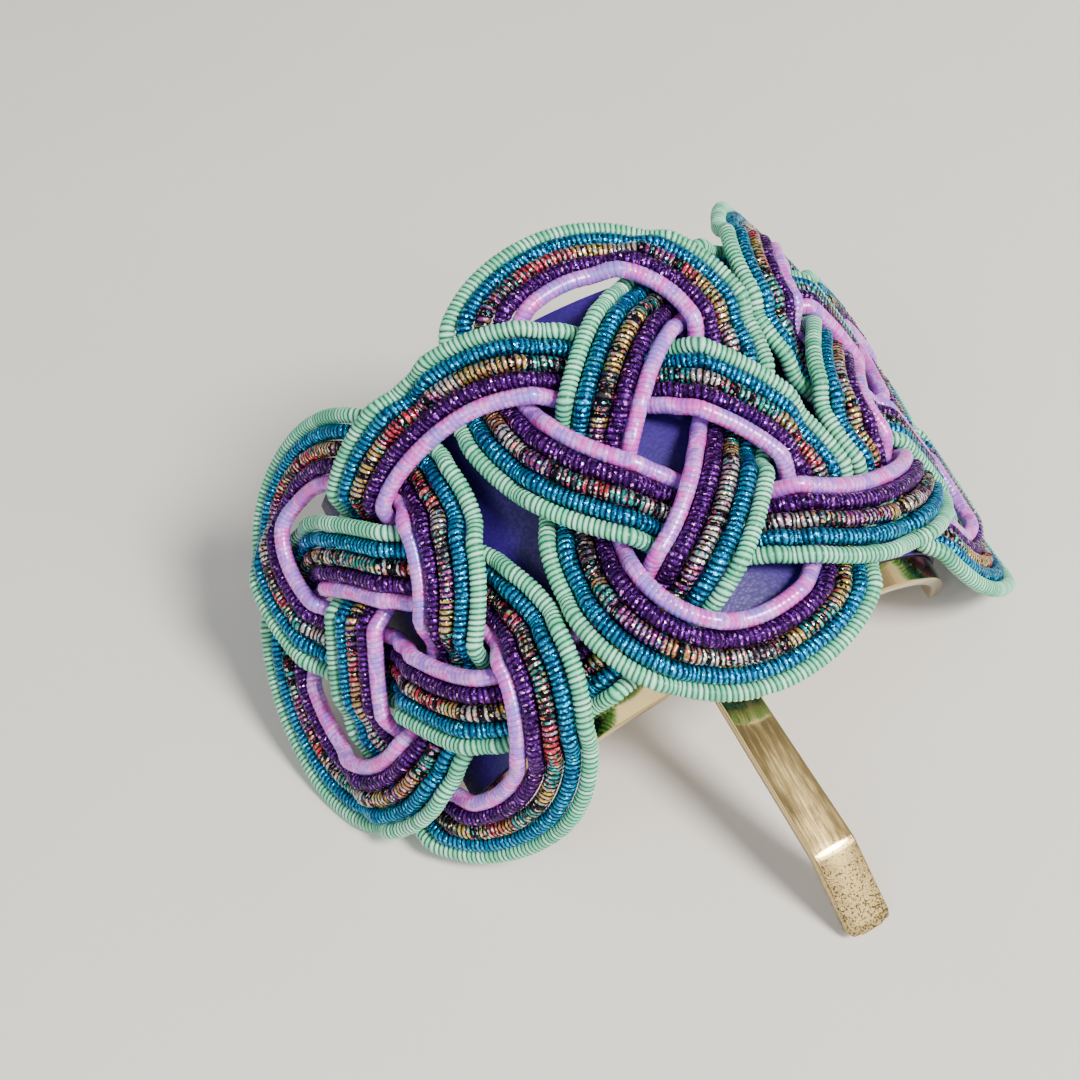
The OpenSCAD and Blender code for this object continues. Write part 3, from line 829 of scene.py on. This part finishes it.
class PONYHOOK_OT_stage(Operator):
    """Make the floor, the lights and the camera"""

    bl_idname = "ponyhook.stage"
    bl_label = "Studio"

    def execute(self, context):
        s = context.scene.ponyhook_stage
        mesh = bpy.data.meshes.new("floor")
        # half of the floor's side, in metres
        half = 1.5
        corners = [(-half, -half, 0), (half, -half, 0), (half, half, 0), (-half, half, 0)]
        mesh.from_pydata(corners, [], [(0, 1, 2, 3)])
        floor = bpy.data.objects.new("floor", mesh)
        context.scene.collection.objects.link(floor)
        floor.data.materials.append(floor_finish("pale_floor", tuple(s.floor)).material)
        self.light("key", (0.15, -0.34, 0.37), 0.14, s.key_power, (1.0, 0.96, 0.90))
        self.light("fill", (-0.40, -0.25, 0.40), 0.5, s.fill_power, (0.90, 0.95, 1.0))
        self.light("low", (0.20, -0.48, 0.29), 0.2, s.low_power, (1.0, 0.97, 0.93))
        world = bpy.data.worlds.new("studio")
        world.use_nodes = True
        tree = world.node_tree
        back = tree.nodes["Background"]
        back.inputs["Color"].default_value = (0.95, 0.97, 1.0, 1)
        # the even light is weaker overhead than near the floor
        way, split, fall = (tree.nodes.new("ShaderNode" + k) for k in ("TexCoord", "SeparateXYZ", "MapRange"))
        tree.links.new(way.outputs["Generated"], split.inputs[0])
        tree.links.new(split.outputs["Z"], fall.inputs["Value"])
        fall.inputs["From Min"].default_value, fall.inputs["From Max"].default_value = 0.3, 0.95
        fall.inputs["To Min"].default_value, fall.inputs["To Max"].default_value = s.sky, 0.45 * s.sky
        tree.links.new(fall.outputs["Result"], back.inputs["Strength"])
        context.scene.world = world
        self.camera(context)
        return {"FINISHED"}

    def light(self, name, place, size, power, colour):
        data = bpy.data.lights.new(name, "AREA")
        data.shape, data.size, data.energy, data.color = "DISK", size, power, colour
        lamp = bpy.data.objects.new(name, data)
        bpy.context.scene.collection.objects.link(lamp)
        lamp.location = place
        lamp.rotation_euler = (Vector(LIT_POINT) - Vector(place)).to_track_quat("-Z", "Y").to_euler()

    def camera(self, context):
        data = bpy.data.cameras.new("camera")
        data.sensor_width, data.lens = SENSOR, LENS
        data.clip_start, data.clip_end = 0.005, 10
        camera = bpy.data.objects.new("camera", data)
        context.scene.collection.objects.link(camera)
        right, up = Vector(CAMERA_RIGHT), Vector(CAMERA_UP)
        turn = Matrix((right, up, right.cross(up))).transposed().to_4x4()
        camera.matrix_world = Matrix.Translation(Vector(CAMERA_PLACE) * MM) @ turn
        context.scene.camera = camera


class PONYHOOK_PT_panel(Panel):
    """Buttons and sizes of the ponytail hook"""

    bl_idname = "PONYHOOK_PT_panel"
    bl_label = "Ponytail hook"
    bl_space_type = "VIEW_3D"
    bl_region_type = "UI"
    bl_category = "Ponytail hook"

    def draw(self, context):
        for operator in OPERATORS:
            self.layout.operator(operator.bl_idname)
        for group_name, group in GROUPS:
            box = self.layout.box()
            for key in group.__annotations__:
                box.prop(getattr(context.scene, group_name), key)


GROUPS = (
    ("ponyhook_cords", PONYHOOK_PG_cords),
    ("ponyhook_hook", PONYHOOK_PG_hook),
    ("ponyhook_stage", PONYHOOK_PG_stage),
)
OPERATORS = (PONYHOOK_OT_cords, PONYHOOK_OT_cuff_hook, PONYHOOK_OT_covering, PONYHOOK_OT_stage)


def register():
    """Adds the groups of sizes, the operators and the panel."""
    for key, group in GROUPS:
        bpy.utils.register_class(group)
        setattr(bpy.types.Scene, key, PointerProperty(type=group))
    for operator in OPERATORS:
        bpy.utils.register_class(operator)
    bpy.utils.register_class(PONYHOOK_PT_panel)


def unregister():
    """Takes them away again, last one first."""
    bpy.utils.unregister_class(PONYHOOK_PT_panel)
    for operator in reversed(OPERATORS):
        bpy.utils.unregister_class(operator)
    for key, group in reversed(GROUPS):
        delattr(bpy.types.Scene, key)
        bpy.utils.unregister_class(group)


def main():
    """Makes all pieces and the studio."""
    register()
    bpy.ops.ponyhook.cords()
    bpy.ops.ponyhook.cuff_hook()
    bpy.ops.ponyhook.covering()
    bpy.ops.ponyhook.stage()
    bpy.context.view_layer.update()


if __name__ == "__main__":
    main()
